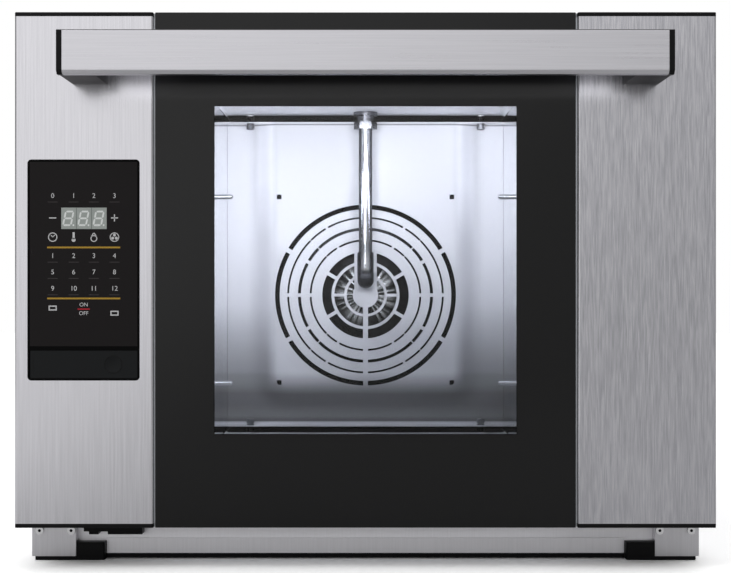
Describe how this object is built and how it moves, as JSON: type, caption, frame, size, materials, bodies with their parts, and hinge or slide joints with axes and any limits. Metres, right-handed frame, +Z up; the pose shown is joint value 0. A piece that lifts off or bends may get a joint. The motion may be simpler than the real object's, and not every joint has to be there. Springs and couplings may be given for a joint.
{
  "type": "convection combi oven",
  "caption": "Countertop convection oven with a full-width drop-down glass door, flat handle bar, touch controls in a steel wing and a fan behind a slotted panel in the chamber.",
  "frame": {"origin": "under the middle of the oven's box, on the surface it stands on", "axes": "+X to the right seen from the front, +Y to the rear, +Z up"},
  "size_m": [0.6, 0.739, 0.478],
  "materials": {
    "steel_wing": "upright satin grain",
    "steel_handle": "lengthwise satin grain",
    "steel_base": "satin grain",
    "steel_case": "satin grain",
    "steel_chamber": "bright rolled",
    "steel_part": "plain",
    "chrome_pipe": "polished",
    "zinc_screw": "plain",
    "black_plastic": "fine texture",
    "fascia_black": "satin film",
    "flap_black": "fine texture",
    "display_grey": "smooth",
    "clear_glass": "clear",
    "black_rubber": "matt",
    "mineral_wool": "fibrous",
    "element_sheath": "dark oxide",
    "motor_paint": "satin paint",
    "fan_metal": "plain",
    "board_green": "printed board",
    "valve_plastic": "moulded",
    "lamp_white": "diffuse"
  },
  "bodies": {
    "oven": {"base_frame": "steel_base", "base_edge_strip": "black_rubber", "feet": "black_rubber", "base_end_plates": "steel_base", "end_plate_screws": "zinc_screw", "cable_duct": "black_plastic", "hinge_brackets": "steel_part", "front_frame": "steel_case", "side_panel_left": "steel_case", "side_panel_right": "steel_case", "top_cover": "steel_case", "rear_cover": "steel_case", "cavity_box": "steel_chamber", "rack_pins": "chrome_pipe", "insulation_jacket": "mineral_wool", "insulation_rear": "mineral_wool", "door_gasket": "black_rubber", "fan_panel": "steel_chamber", "panel_fixing_screws": "chrome_pipe", "steam_pipe": "chrome_pipe", "pipe_sleeve": "chrome_pipe", "pipe_nut": "chrome_pipe", "heating_element": "element_sheath", "motor_plate": "steel_part", "fan_motor": "motor_paint", "shaft_seal": "black_rubber", "safety_thermostat": "black_plastic", "temperature_probe": "steel_part", "vent_pipe": "steel_part", "water_valve": "valve_plastic", "water_hose": "black_rubber", "cable_gland": "black_plastic", "terminal_block": "valve_plastic", "board_tray": "steel_part", "power_board": "board_green", "cooling_fan_frame": "black_plastic"},
    "door": {"wing_right": "steel_wing", "wing_left": "steel_wing", "wing_caps": "black_plastic", "hinge_leaves": "steel_part", "hinge_pins": "steel_part", "door_glass_outer": "clear_glass", "door_glass_inner": "clear_glass", "door_pan": "steel_case", "glass_clips": "steel_part", "door_led_bars": "lamp_white", "handle_bar": "steel_handle", "handle_brackets": "black_plastic", "handle_screws": "zinc_screw", "control_housing": "black_plastic", "control_fascia": "fascia_black", "display_module": "display_grey", "control_board": "board_green", "usb_socket": "steel_part"},
    "fan": {"fan_wheel": "fan_metal", "fan_shaft": "steel_part", "fan_nut": "steel_part"},
    "cooling_fan": {"cooling_fan_rotor": "black_plastic"},
    "flap": {"usb_flap": "flap_black"}
  },
  "joints": [
    {"name": "door_drop", "type": "hinge", "parent": "oven", "child": "door", "pos_m": [0, -0.2615, 0.044], "axis": [1, 0, 0], "range_deg": [0, 78], "stiffness_Nm_per_rad": 5.7, "springref_deg": -34.38},
    {"name": "flap_swing", "type": "hinge", "parent": "door", "child": "flap", "pos_m": [-0.286, -0.2988, 0.177], "axis": [0, 0, -1], "range_deg": [0, 90]},
    {"name": "fan_spin", "type": "hinge", "parent": "oven", "child": "fan", "pos_m": [0, 0.2405, 0.233], "axis": [0, 1, 0], "continuous": true},
    {"name": "cooling_fan_spin", "type": "hinge", "parent": "oven", "child": "cooling_fan", "pos_m": [0.2525, 0.3405, 0.1], "axis": [0, 1, 0], "continuous": true}
  ]
}
